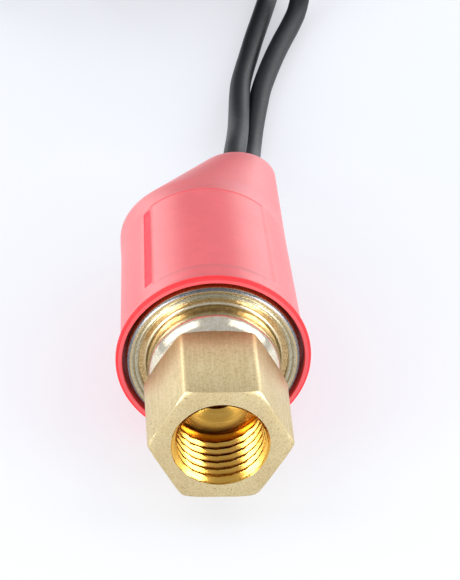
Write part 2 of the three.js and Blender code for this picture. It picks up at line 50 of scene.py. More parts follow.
PORT_LOW, PORT_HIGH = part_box("port_fitting")
BOOT_LOW, BOOT_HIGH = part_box("boot")
CUP_LOW, CUP_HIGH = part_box("pressure_cup")
SHELL_LOW, SHELL_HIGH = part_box("crimp_shell")
FACE_Y = PORT_LOW.y                                 # the port's front face
AXIS_Z = (BOOT_LOW.z + BOOT_HIGH.z) / 2             # height of the switch's axis
LIP_RADIUS = (BOOT_HIGH.z - BOOT_LOW.z) / 2 / MM
BOOT_MOUTH = (BOOT_LOW.y - FACE_Y) / MM             # lengths along the axis, in mm
BOOT_END = (BOOT_HIGH.y - FACE_Y) / MM
PORT_BACK = (PORT_HIGH.y - FACE_Y) / MM
CUP_FRONT = (CUP_LOW.y - FACE_Y) / MM
CUP_BACK = (CUP_HIGH.y - FACE_Y) / MM
SHELL_FRONT = (SHELL_LOW.y - FACE_Y) / MM
SHELL_BACK = (SHELL_HIGH.y - FACE_Y) / MM
BEAD_RADIUS = (SHELL_HIGH.z - SHELL_LOW.z) / 2 / MM


def at(x, along, height):
    """A place in the frame from x, the way along the axis and the height above it, in mm."""
    return Vector((x * MM, FACE_Y + along * MM, AXIS_Z + height * MM))


# ---- Camera ------------------------------------------------------------------

CAMERA_AZIMUTH = math.radians(-4.233)
CAMERA_ELEVATION = math.radians(33.631)
CAMERA_ROLL = math.radians(1.93)
CAMERA_DISTANCE = 340.5                             # from the aim, in mm
CAMERA_AIM = at(0.402, 0, 20.513)
CAMERA_LENS = 198.6
FILM_SIDE = 36


def add_camera():
    """A long lens in front of the port and above it, looking down along the axis."""
    back = Vector((
        math.sin(CAMERA_AZIMUTH) * math.cos(CAMERA_ELEVATION),
        -math.cos(CAMERA_AZIMUTH) * math.cos(CAMERA_ELEVATION),
        math.sin(CAMERA_ELEVATION),
    ))
    right = Vector((0, 0, 1)).cross(back).normalized()
    up = back.cross(right)
    turned_right = right * math.cos(CAMERA_ROLL) + up * math.sin(CAMERA_ROLL)
    turned_up = up * math.cos(CAMERA_ROLL) - right * math.sin(CAMERA_ROLL)
    data = bpy.data.cameras.new("camera")
    data.lens = CAMERA_LENS
    data.sensor_width = FILM_SIDE
    camera = bpy.data.objects.new("camera", data)
    bpy.context.collection.objects.link(camera)
    axes = Matrix((turned_right, turned_up, back)).transposed().to_4x4()
    camera.matrix_world = Matrix.Translation(CAMERA_AIM + back * CAMERA_DISTANCE * MM) @ axes
    bpy.context.scene.camera = camera


add_camera()

# ---- Leads -------------------------------------------------------------------

LEAD_DIAMETER = 2.8
COIL_TURNS = 8.25
COIL_LAYERS = 4
LAYER_CLIMB = 0.3                                   # share of a turn that climbs a layer
COIL_POINTS = 20                                    # points in each turn
COIL_A_LOW, COIL_A_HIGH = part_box("lead_a_coil")
COIL_B_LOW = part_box("lead_b_coil")[0]
COIL_CENTRE = (COIL_A_LOW + COIL_A_HIGH) / 2
COIL_OUTER = (COIL_A_HIGH.x - COIL_A_LOW.x) / 2 / MM - LEAD_DIAMETER / 2
COIL_INNER = COIL_OUTER - LEAD_DIAMETER * COIL_TURNS / COIL_LAYERS
TABLE = -LIP_RADIUS                                 # heights above the switch's axis, in mm
LEAD_REST = TABLE + LEAD_DIAMETER / 2 + 0.1
SLEEVE_NECK_RADIUS = 2.2
SLEEVE_AXIS = TABLE + SLEEVE_NECK_RADIUS
UPPER_SLEEVE_AXIS = SLEEVE_AXIS + 2 * SLEEVE_NECK_RADIUS + 0.2
COIL_A = (COIL_A_LOW.z - AXIS_Z) / MM + LEAD_DIAMETER / 2      # axis of the lowest layer
COIL_B = (COIL_B_LOW.z - AXIS_Z) / MM + LEAD_DIAMETER / 2
COIL_TOP = (COIL_LAYERS - 1) * LEAD_DIAMETER        # from there to the top layer's axis

# From inside the boot's end down to the surface and on to the coil: x, way along, height.
LEAD_A_ROUTE = [
    (3.2, 52, 1.5), (4.2, 56, 1.1), (4.8, 60, 0.8), (5.25, 64, -0.3), (5.75, 69, -2.2),
    (6.2, 74, -4.2), (6.62, 79, -6.0), (7.0, 84, -7.2), (7.45, 90, -8.0), (7.85, 94, -8.6),
    (8.45, 98, -9.2), (9.4, 103, -9.7), (10.45, 108, LEAD_REST), (11.6, 113, LEAD_REST),
    (12.75, 118, LEAD_REST), (14.1, 124, LEAD_REST), (15.2, 128, LEAD_REST + 0.3),
    (15.75, 131.9, COIL_A), (15.79, 137, COIL_A),
]
LEAD_B_ROUTE = [
    (5.6, 52, -2.0), (6.1, 56, -1.7), (6.6, 60, -2.0), (6.95, 64, -3.2), (7.33, 68, -5.0),
    (7.7, 72, -6.9), (8.08, 76, -8.5), (8.5, 80, -9.5), (9.0, 84, LEAD_REST),
    (9.95, 90, LEAD_REST), (10.65, 94, LEAD_REST), (11.6, 98, LEAD_REST),
    (12.95, 103, LEAD_REST), (14.5, 108, LEAD_REST), (16.2, 113, LEAD_REST + 0.1),
    (17.3, 116.5, -9.1), (17.9, 119.5, -7.5), (18.0, 122.5, -5.0), (17.6, 125.5, -2.1),
    (16.8, 128.5, 0.7), (15.9, 131.9, COIL_B), (15.79, 137, COIL_B),
]
# From the coil to the push-on terminal.
LEAD_A_TAIL = [
    (-7, 160, COIL_A + COIL_TOP), (-12.3, 160, COIL_A + COIL_TOP), (-16, 159.8, -1.4),
    (-19.9, 158.4, -3.6), (-23, 155.9, -6.0), (-25.2, 152.1, -7.9), (-25.9, 148.2, -8.8),
    (-25.9, 145.4, SLEEVE_AXIS), (-25.9, 141.5, SLEEVE_AXIS),
]
LEAD_B_TAIL = [
    (-7, 160, COIL_B + COIL_TOP), (-12.3, 160, COIL_B + COIL_TOP), (-16, 159.8, 9.8),
    (-19.9, 158.4, 6.6), (-23, 155.9, 2.9), (-25.2, 152.1, -1.0), (-25.9, 148.2, -3.7),
    (-25.9, 145.4, UPPER_SLEEVE_AXIS), (-25.9, 141.5, UPPER_SLEEVE_AXIS),
]


def share(place, start, end):
    """How far a place is from start to end, from 0 to 1."""
    return min(max((place - start) / (end - start), 0), 1)


def ease(part):
    return part * part * (3 - 2 * part)


def coil_turns(axis_height):
    """A coil's points: a spiral inwards in one layer, outwards in the next, and so on up."""
    points = []
    leg = COIL_TURNS / COIL_LAYERS
    count = round(COIL_TURNS * COIL_POINTS)
    for i in range(count + 1):
        turn = COIL_TURNS * i / count
        swing = (turn - leg) % (2 * leg)
        radius = COIL_INNER + LEAD_DIAMETER * min(swing, 2 * leg - swing)
        climbs = [leg * k - LAYER_CLIMB / 2 for k in range(1, COIL_LAYERS)]
        layer = sum(ease(share(turn, start, start + LAYER_CLIMB)) for start in climbs)
        x = COIL_CENTRE.x / MM + radius * math.cos(turn * FULL_TURN)
        along = (COIL_CENTRE.y - FACE_Y) / MM + radius * math.sin(turn * FULL_TURN)
        points.append((x, along, axis_height + LEAD_DIAMETER * layer))
    return points


def add_lead(name, route, axis_height, tail):
    """One whole lead on one smooth curve, from inside the boot to its terminal."""
    line = bpy.data.curves.new(name, "CURVE")
    line.dimensions = "3D"
    line.bevel_depth = LEAD_DIAMETER / 2 * MM
    line.bevel_resolution = 5
    line.resolution_u = 3
    line.use_fill_caps = True
    places = [*route, *coil_turns(axis_height), *tail]
    spline = line.splines.new("BEZIER")
    spline.bezier_points.add(len(places) - 1)
    for point, place in zip(spline.bezier_points, places):
        point.co = at(*place)
        point.handle_left_type = point.handle_right_type = "AUTO"
    lead = bpy.data.objects.new(name, line)
    bpy.context.collection.objects.link(lead)
    return lead


def declare_lead(lead, letter):
    """Puts a lead in the case's body and hides the CAD lead, coil and tail that it replaces."""
    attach(lead, "case")
    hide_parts(f"lead_{letter}", f"lead_{letter}_coil", f"lead_{letter}_tail")


lead_a = add_lead("lead_a_insulation", LEAD_A_ROUTE, COIL_A, LEAD_A_TAIL)
lead_b = add_lead("lead_b_insulation", LEAD_B_ROUTE, COIL_B, LEAD_B_TAIL)

# ---- Modelling, by hand ------------------------------------------------------

RING_STEPS = 120                                    # sides of the turned pieces
SAME_POINT = 0.002 * MM                             # closer points than this are merged


def deselect():
    bpy.ops.object.select_all(action="DESELECT")


def edit():
    bpy.ops.object.mode_set(mode="EDIT")


def leave_edit():
    bpy.ops.object.mode_set(mode="OBJECT")


def settle_place():
    """Puts the active piece's place into its mesh."""
    bpy.ops.object.transform_apply(location=True, rotation=True, scale=True)


def name_piece(name):
    piece = bpy.context.active_object
    piece.name = piece.data.name = name
    return piece


def make_active(piece):
    deselect()
    piece.select_set(True)
    bpy.context.view_layer.objects.active = piece


def turned(name, profile, steps=RING_STEPS):
    """A piece turned about the switch's axis. The profile is a chain of (radius, along)."""
    deselect()
    bpy.ops.mesh.primitive_plane_add(size=MM, location=at(profile[0][0], profile[0][1], 0))
    settle_place()
    piece = name_piece(name)
    edit()
    bpy.ops.mesh.select_mode(type="VERT")
    bpy.ops.mesh.select_all(action="SELECT")
    bpy.ops.mesh.merge(type="CENTER")
    for (radius, along), (next_radius, next_along) in zip(profile, profile[1:]):
        step = ((next_radius - radius) * MM, (next_along - along) * MM, 0)
        bpy.ops.mesh.extrude_vertices_move(TRANSFORM_OT_translate={"value": step})
    bpy.ops.mesh.select_all(action="SELECT")
    bpy.ops.mesh.spin(steps=steps, angle=FULL_TURN, center=at(0, 0, 0), axis=(0, 1, 0))
    bpy.ops.mesh.select_all(action="SELECT")
    bpy.ops.mesh.remove_doubles(threshold=SAME_POINT)
    bpy.ops.mesh.normals_make_consistent(inside=False)
    leave_edit()
    return piece


def arc(radius, along, bend, start, end, steps):
    """Points on a bend about (radius, along), from one angle to another in degrees."""
    angles = [math.radians(start + (end - start) * i / steps) for i in range(steps + 1)]
    return [(radius + bend * math.cos(a), along + bend * math.sin(a)) for a in angles]


def soften(piece, width, segments=2, angle=30):
    """Rounds the sharp edges, as a real piece's are."""
    make_active(piece)
    bpy.ops.object.modifier_add(type="BEVEL")
    bevel = piece.modifiers[-1]
    bevel.width = width * MM
    bevel.segments = segments
    bevel.limit_method = "ANGLE"
    bevel.angle_limit = math.radians(angle)
    bevel.use_clamp_overlap = True
    bpy.ops.object.modifier_apply(modifier=bevel.name)


def join_or_cut(piece, other, operation):
    """Unites, cuts or intersects a piece with another, which is then thrown away."""
    make_active(piece)
    bpy.ops.object.modifier_add(type="BOOLEAN")
    boolean = piece.modifiers[-1]
    boolean.operation = operation
    boolean.object = other
    boolean.solver = "EXACT"
    bpy.ops.object.modifier_apply(modifier=boolean.name)
    bpy.data.objects.remove(other)


def smooth(piece, angle=35):
    make_active(piece)
    bpy.ops.object.shade_smooth_by_angle(angle=math.radians(angle))


def select_faces(piece, wanted):
    """Leaves just those faces selected whose centre, in mm, is wanted."""
    make_active(piece)
    edit()
    bpy.ops.mesh.select_mode(type="FACE")
    bpy.ops.mesh.select_all(action="DESELECT")
    leave_edit()
    for face in piece.data.polygons:
        x, y, z = face.center
        along, height = (y - FACE_Y) / MM, (z - AXIS_Z) / MM
        face.select = bool(wanted(x / MM, along, height, face.normal))


def paint(piece, material, wanted=None):
    """Gives a piece a material, or a further one to the faces that are wanted."""
    piece.data.materials.append(material)
    if wanted is None:
        return
    select_faces(piece, wanted)
    index = len(piece.data.materials) - 1
    for face in piece.data.polygons:
        if face.select:
            face.material_index = index


def stand_for(piece, node):
    """Puts a piece in the case's body and hides the CAD node that it replaces."""
    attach(piece, "case")
    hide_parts(node)


# ---- Port fitting ------------------------------------------------------------

HEX_ACROSS_FLATS = 14.29
HEX_CORNER = HEX_ACROSS_FLATS / math.sqrt(3)
HEX_LENGTH = CUP_FRONT - 0.3
THREAD_PITCH = 1.27                                 # 20 turns to the inch
THREAD_MINOR = 4.95
THREAD_MAJOR = 5.555
THREAD_END = 7.8
THREAD_ROOT = 0.14                                  # flat width of a root, in half pitches
THREAD_FLANK = 0.6                                  # width of a flank, in half pitches
RELIEF_RADIUS = 5.6
RELIEF_END = 9.2
SEAT_RADIUS = 5.0
SEAT_DEPTH = 1.2
ORIFICE_RADIUS = 2.6
SPIGOT_RADIUS = 4.0
MOUTH_CHAMFER = 0.5
BORE_STEPS = 144
BORE_ROW = THREAD_PITCH / 20                        # between rows of points along the thread
CORNER_ROUND = 0.42
EDGE_BREAK = 0.1


def thread_radius(along, turn):
    """The bore's radius in the thread: flat crests and roots with sloping flanks."""
    phase = (along / THREAD_PITCH - turn) % 1
    from_root = abs(phase - 0.5) * 2                # 0 at the root, 1 at the crest
    depth = 1 - share(from_root, THREAD_ROOT, THREAD_ROOT + THREAD_FLANK)
    run_out = 1 - share(along, THREAD_END - 0.1, THREAD_END + 0.5)
    return THREAD_MINOR + (THREAD_MAJOR - THREAD_MINOR) * depth * run_out


def bore_radius(along, turn):
    """The radius of the bore at a place along it and a share of a turn round it."""
    mouth = THREAD_MINOR + MOUTH_CHAMFER - along
    if along < RELIEF_END:
        relief = RELIEF_RADIUS if along > THREAD_END else 0
        return max(thread_radius(along, turn), mouth, relief)
    if along < RELIEF_END + SEAT_DEPTH:
        return SEAT_RADIUS + (ORIFICE_RADIUS - SEAT_RADIUS) * (along - RELIEF_END) / SEAT_DEPTH
    return ORIFICE_RADIUS


def bore_cutter():
    """What the drill and the tap take out. Each point is moved on to the thread's helix."""
    rows = [-1.0] + [i * BORE_ROW for i in range(round(THREAD_END / BORE_ROW))]
    rows += [THREAD_END - 0.02, THREAD_END + 0.08, RELIEF_END - 0.08, RELIEF_END - 0.001]
    rows += [RELIEF_END + 0.002, RELIEF_END + SEAT_DEPTH, PORT_BACK + 1]
    profile = [(0, rows[0])] + [(bore_radius(y, 0), y) for y in rows] + [(0, rows[-1])]
    cutter = turned("bore_cutter", profile, BORE_STEPS)
    for point in cutter.data.vertices:
        x, y, z = point.co.x, point.co.y, point.co.z - AXIS_Z
        radius = math.hypot(x, z)
        if radius > SAME_POINT:
            scale = bore_radius((y - FACE_Y) / MM, math.atan2(z, x) / FULL_TURN) * MM / radius
            point.co.x, point.co.z = x * scale, z * scale + AXIS_Z
    return cutter


def along_the_bar(edge, points):
    start, end = (points[i].co for i in edge.vertices)
    return abs(start.y - end.y) > HEX_LENGTH * MM / 2


def model_fitting():
    """Hexagon bar with its corners turned off at both ends, a spigot, and the tapped bore."""
    deselect()
    bpy.ops.mesh.primitive_cylinder_add(
        vertices=6, radius=HEX_CORNER * MM, depth=HEX_LENGTH * MM,
        location=at(0, HEX_LENGTH / 2, 0), rotation=(math.pi / 2, math.pi / 6, 0),
    )
    settle_place()
    fitting = name_piece("flare_port_fitting")
    edit()
    bpy.ops.mesh.select_mode(type="EDGE")
    bpy.ops.mesh.select_all(action="DESELECT")
    leave_edit()
    for edge in fitting.data.edges:
        edge.select = along_the_bar(edge, fitting.data.vertices)
    edit()
    bpy.ops.mesh.bevel(offset=CORNER_ROUND * MM, segments=4, affect="EDGES")
    leave_edit()
    blank = turned("turned_blank", [
        (0, 0), (HEX_CORNER - 0.85, 0), (HEX_CORNER - 0.35, 0.16), (HEX_CORNER + 0.4, 0.62),
        (HEX_CORNER + 0.4, HEX_LENGTH - 0.75), (HEX_CORNER - 1.0, HEX_LENGTH), (0, HEX_LENGTH),
    ])
    join_or_cut(fitting, blank, "INTERSECT")
    soften(fitting, EDGE_BREAK, 2)
    spigot = turned("spigot", [
        (0, HEX_LENGTH - 1), (SPIGOT_RADIUS, HEX_LENGTH - 1), (SPIGOT_RADIUS, PORT_BACK - 0.2),
        (SPIGOT_RADIUS - 0.2, PORT_BACK), (0, PORT_BACK),
    ])
    join_or_cut(fitting, spigot, "UNION")
    join_or_cut(fitting, bore_cutter(), "DIFFERENCE")
    make_active(fitting)
    edit()
    bpy.ops.mesh.select_all(action="SELECT")
    bpy.ops.mesh.remove_doubles(threshold=SAME_POINT)
    leave_edit()
    smooth(fitting, 28)
    return fitting


def in_the_bore(x, along, height, normal):
    return 0 < along < PORT_BACK - 0.05 and math.hypot(x, height) < RELIEF_RADIUS + 0.1 \
        and normal.x * x + normal.z * height < 0.3 * math.hypot(x, height)


# ---- Pressure cup, shell and braze ------------------------------------------

NECK_RADIUS = 7.6
NECK_SHOULDER = 2.5
CUP_WALL = 1.2
CUP_HOLE = 4.1
ROOT_BEND = 0.45
FLANGE_FRONT = CUP_BACK - 0.9
FLANGE_RADIUS = (CUP_HIGH.z - CUP_LOW.z) / 2 / MM
LIP_INNER = 8.55
SHELL_WALL = 0.5
SHELL_ROLL = 0.62                                   # radius of its rolled front edge
SHELL_RADIUS = BEAD_RADIUS - 0.5
SHELL_BORE_BACK = 7.55
BEAD_BACK = 18.2


def model_cup():
    """A deep-drawn cup: a bullnosed neck, a small root bend and a flat flange."""
    inner = NECK_RADIUS - CUP_WALL
    inner_bend = NECK_SHOULDER - CUP_WALL
    return turned("drawn_pressure_cup", [
        (CUP_HOLE, CUP_FRONT),
        *arc(NECK_RADIUS - NECK_SHOULDER, CUP_FRONT + NECK_SHOULDER, NECK_SHOULDER, -90, 0, 16),
        (NECK_RADIUS, FLANGE_FRONT - ROOT_BEND - 0.9),
        *arc(NECK_RADIUS + ROOT_BEND, FLANGE_FRONT - ROOT_BEND, ROOT_BEND, 180, 90, 6),
        (LIP_INNER, FLANGE_FRONT),
        (FLANGE_RADIUS, FLANGE_FRONT), (FLANGE_RADIUS, CUP_BACK), (inner, CUP_BACK),
        *arc(inner - inner_bend, CUP_FRONT + NECK_SHOULDER, inner_bend, 0, -90, 8),
        (CUP_HOLE, CUP_FRONT + CUP_WALL), (CUP_HOLE, CUP_FRONT),
    ])


def model_shell():
    """A thin drawn can: its front edge is rolled flat over the cup's flange."""
    inside = BEAD_RADIUS - SHELL_WALL
    return turned("crimped_shell", [
        *arc(LIP_INNER + 0.2, SHELL_FRONT + 0.22, 0.2, 180, 270, 4),
        (BEAD_RADIUS - 1.05, SHELL_FRONT + 0.02),
        (BEAD_RADIUS - 0.95, SHELL_FRONT + 0.1),
        (BEAD_RADIUS - 0.85, SHELL_FRONT + 0.02),
        *arc(BEAD_RADIUS - SHELL_ROLL, SHELL_FRONT + SHELL_ROLL, SHELL_ROLL, -90, 0, 8),
        (BEAD_RADIUS, BEAD_BACK - 0.1),
        *arc(BEAD_RADIUS - 0.2, BEAD_BACK, 0.2, 0, 90, 4),
        (SHELL_RADIUS, BEAD_BACK + SHELL_WALL),
        *arc(SHELL_RADIUS - 0.4, SHELL_BACK - 0.4, 0.4, 0, 90, 5),
        (SHELL_BORE_BACK, SHELL_BACK), (SHELL_BORE_BACK, SHELL_BACK - SHELL_WALL),
        (SHELL_RADIUS - SHELL_WALL, SHELL_BACK - SHELL_WALL),
        (SHELL_RADIUS - SHELL_WALL, BEAD_BACK), (inside, BEAD_BACK),
        (inside, FLANGE_FRONT), (LIP_INNER, FLANGE_FRONT - 0.01), (LIP_INNER, SHELL_FRONT + 0.22),
    ])


def model_braze():
    """The braze alloy drawn into the joint, with a concave fillet against the cup."""
    low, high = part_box("braze_ring")
    outer = (high.z - low.z) / 2 / MM
    return turned("braze_fillet", [
        (CUP_HOLE, HEX_LENGTH), (outer, HEX_LENGTH), (outer - 0.12, HEX_LENGTH + 0.12),
        (outer - 0.2, CUP_FRONT), (CUP_HOLE, CUP_FRONT), (CUP_HOLE, HEX_LENGTH),
    ])


# ---- Boot --------------------------------------------------------------------

MOUTH_RADIUS = BEAD_RADIUS + 0.5
FRONT_RADIUS = BEAD_RADIUS + 0.6
REAR_RADIUS = SHELL_RADIUS + 0.45
BAND_START = 18.4
PANEL_FRONT = 20.2
SHOULDER = 37.6
LEFT_SHOULDER = 42.2
SNOUT_LEFT, SNOUT_RIGHT, SNOUT_HALF_HEIGHT = 0.0, 9.7, 3.9
BOOT_WALL = 1.5
END_WALL = 3.6
PANEL_HALF_ANGLE = 42                               # either side of the top, in degrees
GROOVE_ANGLE = 6                                    # width of the groove left of the panel
PANEL_DEPTH = 0.06
LIP_DEPTH = 0.7                                     # how far back the lip's own face goes
BOOT_SIDES = 120
LEAD_CLEARANCE = 0.12


def blend(low, high, part):
    return low + (high - low) * part


def boot_section(along, wall=0):
    """The boot's left, right and half height at a place along it, drawn in by a wall."""
    radius = blend(FRONT_RADIUS, REAR_RADIUS, share(along, BAND_START, SHOULDER))
    snout = share(along, SHOULDER, BOOT_END)
    left = blend(-radius, SNOUT_LEFT, share(along, LEFT_SHOULDER, BOOT_END)) + wall
    right = blend(radius, SNOUT_RIGHT, snout) - wall
    return along, left, right, blend(radius, SNOUT_HALF_HEIGHT, snout) - wall


def round_section(along, radius):
    """A round section: its place along the axis, left, right and half height."""
    return along, -radius, radius, radius


def boot_outside():
    """Sections from the mouth to the end: thick lip, front band, shoulder and snout."""
    rows = [(0, LIP_RADIUS - 0.3), (0.03, LIP_RADIUS - 0.17), (0.1, LIP_RADIUS - 0.07),
            (0.22, LIP_RADIUS - 0.01), (0.32, LIP_RADIUS), (0.5, LIP_RADIUS),
            (0.65, LIP_RADIUS - 0.05), (0.85, LIP_RADIUS - 0.18), (1.05, LIP_RADIUS - 0.36),
            (1.2, LIP_RADIUS - 0.5), (1.4, FRONT_RADIUS)]
    sections = [round_section(BOOT_MOUTH + step, radius) for step, radius in rows]
    sections += [boot_section(y) for y in (19.2, PANEL_FRONT, PANEL_FRONT + 0.4)]
    sections += [boot_section(PANEL_FRONT + 0.4 + i * 1.7) for i in range(1, 10)]
    shoulder = (36.9, 37.3, 37.6, 37.9, 38.4, 39.2, 40.2, 41.2, 42.2)
    sections += [boot_section(y) for y in shoulder]
    sections += [boot_section(43.4 + i * 1.3) for i in range(9)]
    sections += [boot_section(BOOT_END - 0.75), boot_section(BOOT_END - 0.55, 0.02),
                 boot_section(BOOT_END - 0.32, 0.1), boot_section(BOOT_END - 0.12, 0.25),
                 boot_section(BOOT_END, 0.6)]
    return sections


def boot_inside():
    """Sections of the pocket, from before the mouth to the wall that the leads pass through."""
    rows = [(BOOT_MOUTH - 0.5, MOUTH_RADIUS), (BOOT_MOUTH, MOUTH_RADIUS),
            (BOOT_MOUTH + 0.1, MOUTH_RADIUS - 0.06),
            (BEAD_BACK + SHELL_WALL, MOUTH_RADIUS - 0.06),
            (BEAD_BACK + SHELL_WALL + 0.05, SHELL_RADIUS + 0.1),
            (SHELL_BACK + 0.3, SHELL_RADIUS + 0.1), (SHELL_BACK + 0.35, SHELL_RADIUS - 0.75),
            (SHOULDER, REAR_RADIUS - BOOT_WALL)]
    snout = (40, LEFT_SHOULDER, 44, 47, 50, BOOT_END - END_WALL)
    return [round_section(*row) for row in rows] + [boot_section(y, BOOT_WALL) for y in snout]


def draw_section(old, new):
    """Extrudes the selected ring of edges and brings it to the next section."""
    (y0, left0, right0, height0), (y1, left1, right1, height1) = old, new
    middle0, middle1 = (left0 + right0) / 2, (left1 + right1) / 2
    step = ((middle1 - middle0) * MM, (y1 - y0) * MM, 0)
    bpy.ops.mesh.extrude_edges_move(TRANSFORM_OT_translate={"value": step})
    bpy.ops.transform.resize(
        value=((right1 - left1) / (right0 - left0), 1, height1 / height0),
        center_override=at(middle1, y1, 0),
    )


def loft(name, sections):
    """A skin drawn through oval sections, closed at both ends."""
    deselect()
    along, left, right, half_height = sections[0]
    bpy.ops.mesh.primitive_circle_add(
        vertices=BOOT_SIDES, radius=half_height * MM, fill_type="NOTHING",
        location=at((left + right) / 2, along, 0), rotation=(math.pi / 2, 0, 0),
    )
    settle_place()
    piece = name_piece(name)
    edit()
    bpy.ops.mesh.select_mode(type="EDGE")
    bpy.ops.mesh.select_all(action="SELECT")
    bpy.ops.mesh.edge_face_add()
    for old, new in zip(sections, sections[1:]):
        draw_section(old, new)
    bpy.ops.mesh.edge_face_add()
    bpy.ops.mesh.select_all(action="SELECT")
    bpy.ops.mesh.normals_make_consistent(inside=False)
    leave_edit()
    return piece


def angle_from_top(x, height):
    return math.degrees(math.atan2(x, height))


def on_the_skin(x, height):
    return math.hypot(x, height) > REAR_RADIUS - 0.3


def on_the_panel(x, along, height, normal):
    angle = angle_from_top(x, height)
    return abs(angle) < PANEL_HALF_ANGLE and PANEL_FRONT < along < SHOULDER \
        and on_the_skin(x, height)


def in_the_groove(x, along, height, normal):
    angle = angle_from_top(x, height)
    return -PANEL_HALF_ANGLE - GROOVE_ANGLE < angle < -PANEL_HALF_ANGLE \
        and PANEL_FRONT + 0.4 < along < SHOULDER - 0.7 and on_the_skin(x, height)


def on_the_lip(x, along, height, normal):
    return along < BOOT_MOUTH + LIP_DEPTH and math.hypot(x, height) > MOUTH_RADIUS - 0.2


def lead_hole(route):
    """A short straight cutter along a lead where it passes the boot's end."""
    (x0, y0, z0), (x1, y1, z1) = route[0], route[1]
    start, end = at(x0, y0, z0), at(x1, y1, z1)
    way = (end - start).normalized()
    turn = way.to_track_quat("Z", "Y").to_euler()
    deselect()
    bpy.ops.mesh.primitive_cylinder_add(
        vertices=40, radius=(LEAD_DIAMETER / 2 + LEAD_CLEARANCE) * MM, depth=9 * MM,
        location=start + way * 3.2 * MM, rotation=turn,
    )
    settle_place()
    return name_piece("lead_hole")


def model_boot():
    """A dipped soft boot with a thick lip, a low label panel, a groove and an offset snout."""
    boot = loft("dipped_boot", boot_outside())
    join_or_cut(boot, loft("boot_pocket", boot_inside()), "DIFFERENCE")
    for wanted, slope in ((on_the_panel, 0.1), (in_the_groove, 0.12)):
        select_faces(boot, wanted)
        edit()
        bpy.ops.mesh.inset(thickness=slope * MM, depth=-PANEL_DEPTH * MM)
        leave_edit()
    for route in (LEAD_A_ROUTE, LEAD_B_ROUTE):
        join_or_cut(boot, lead_hole(route), "DIFFERENCE")
    smooth(boot, 40)
    return boot

# ---- Ties and terminal sleeves ------------------------------------------------

TIE_WIDTH = 4.0
TIE_THICKNESS = 0.8
TIE_BEND = 0.9                                      # inside the strap's corners
HEAD_HEIGHT = 5.3
SLEEVE_WIDTH = 9.0
SLEEVE_HEIGHT = 3.8
SLEEVE_FLAT_LENGTH = 12
SLEEVE_NECK_LENGTH = 8.5
SLEEVE_OVER_LEAD = 4.0                              # how far it goes past the terminal
SLEEVE_BORE = 1.65
SLEEVE_WALL = 0.5
SLEEVE_STEPS = 40


def box_piece(name, low, high, round_by=0.0, home=(0, 0, 0)):
    """A block between two corners in mm from its home, rounded like moulded plastic."""
    deselect()
    bpy.ops.mesh.primitive_cube_add(size=1)
    piece = name_piece(name)
    edit()
    bpy.ops.transform.resize(value=[(b - a) * MM for a, b in zip(low, high)])
    middle = [(a + b) / 2 * MM + c for a, b, c in zip(low, high, home)]
    bpy.ops.transform.translate(value=middle)
    leave_edit()
    if round_by:
        soften(piece, round_by, 4)
    return piece


def model_tie(name, node, degrees):
    """A nylon strap drawn round both coils, with its head near the top on the outside."""
    low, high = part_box(node)
    bottom, top = (low.z - AXIS_Z) / MM, (high.z - AXIS_Z) / MM
    inner = COIL_INNER - LEAD_DIAMETER / 2 - 0.6
    outer = COIL_OUTER + LEAD_DIAMETER / 2 + 0.3
    wall, half = TIE_THICKNESS, TIE_WIDTH / 2
    strap = box_piece(name, (inner - wall, -half, bottom), (outer + wall, half, top))
    window = box_piece(
        "window", (inner, -half - 1, bottom + wall), (outer, half + 1, top - wall),
    )
    make_active(window)
    edit()
    bpy.ops.mesh.select_all(action="SELECT")
    bpy.ops.mesh.bevel(offset=TIE_BEND * MM, segments=4, affect="EDGES")
    leave_edit()
    join_or_cut(strap, window, "DIFFERENCE")
    soften(strap, 0.25, 3)
    head_top = top - 0.9
    head = box_piece(
        "head", (outer - 0.2, -half - 0.6, head_top - HEAD_HEIGHT),
        (outer + wall, half + 0.6, head_top), 0.3,
    )
    join_or_cut(strap, head, "UNION")
    make_active(strap)
    strap.rotation_euler = (0, 0, math.radians(degrees))
    strap.location = (COIL_CENTRE.x, COIL_CENTRE.y, AXIS_Z)
    settle_place()
    smooth(strap, 30)
    return strap


def model_sleeve(name, tail):
    """A moulded nylon sleeve: a flat mouth for the terminal and a round neck for the lead."""
    x, y, axis = tail[-1]
    bottom = axis - SLEEVE_NECK_RADIUS
    back = y + SLEEVE_OVER_LEAD
    joint = back - SLEEVE_NECK_LENGTH
    front = joint - SLEEVE_FLAT_LENGTH
    half, wall = SLEEVE_WIDTH / 2, SLEEVE_WALL
    home = at(0, 0, 0)
    flat = box_piece(
        name, (x - half, front, bottom), (x + half, joint, bottom + SLEEVE_HEIGHT), 1.0, home,
    )
    neck = turned("neck", [
        (0, joint - 1), (SLEEVE_NECK_RADIUS, joint - 1), (SLEEVE_NECK_RADIUS, back - 0.5),
        (SLEEVE_NECK_RADIUS - 0.15, back - 0.2), (SLEEVE_NECK_RADIUS - 0.3, back), (0, back),
    ], SLEEVE_STEPS)
    bore = turned("bore", [
        (0, joint - 2), (SLEEVE_BORE, joint - 2), (SLEEVE_BORE, back + 1), (0, back + 1),
    ], SLEEVE_STEPS)
    for part in (neck, bore):
        make_active(part)
        edit()
        bpy.ops.mesh.select_all(action="SELECT")
        bpy.ops.transform.translate(value=(x * MM, 0, axis * MM))
        leave_edit()
    join_or_cut(flat, neck, "UNION")
    hollow = box_piece(
        "hollow", (x - half + wall, front - 1, bottom + wall),
        (x + half - wall, joint - wall, bottom + SLEEVE_HEIGHT - wall), 0.6, home,
    )
    for cutter in (hollow, bore):
        join_or_cut(flat, cutter, "DIFFERENCE")
    soften(flat, 0.12, 2, 50)
    smooth(flat, 35)
    return flat

# ---- Materials ---------------------------------------------------------------


def srgb(code):
    """An sRGB hex colour as the linear colour that a socket takes."""
    parts = [int(code[i:i + 2], 16) / 255 for i in (1, 3, 5)]
    return [c / 12.92 if c <= 0.04045 else ((c + 0.055) / 1.055) ** 2.4 for c in parts] + [1]


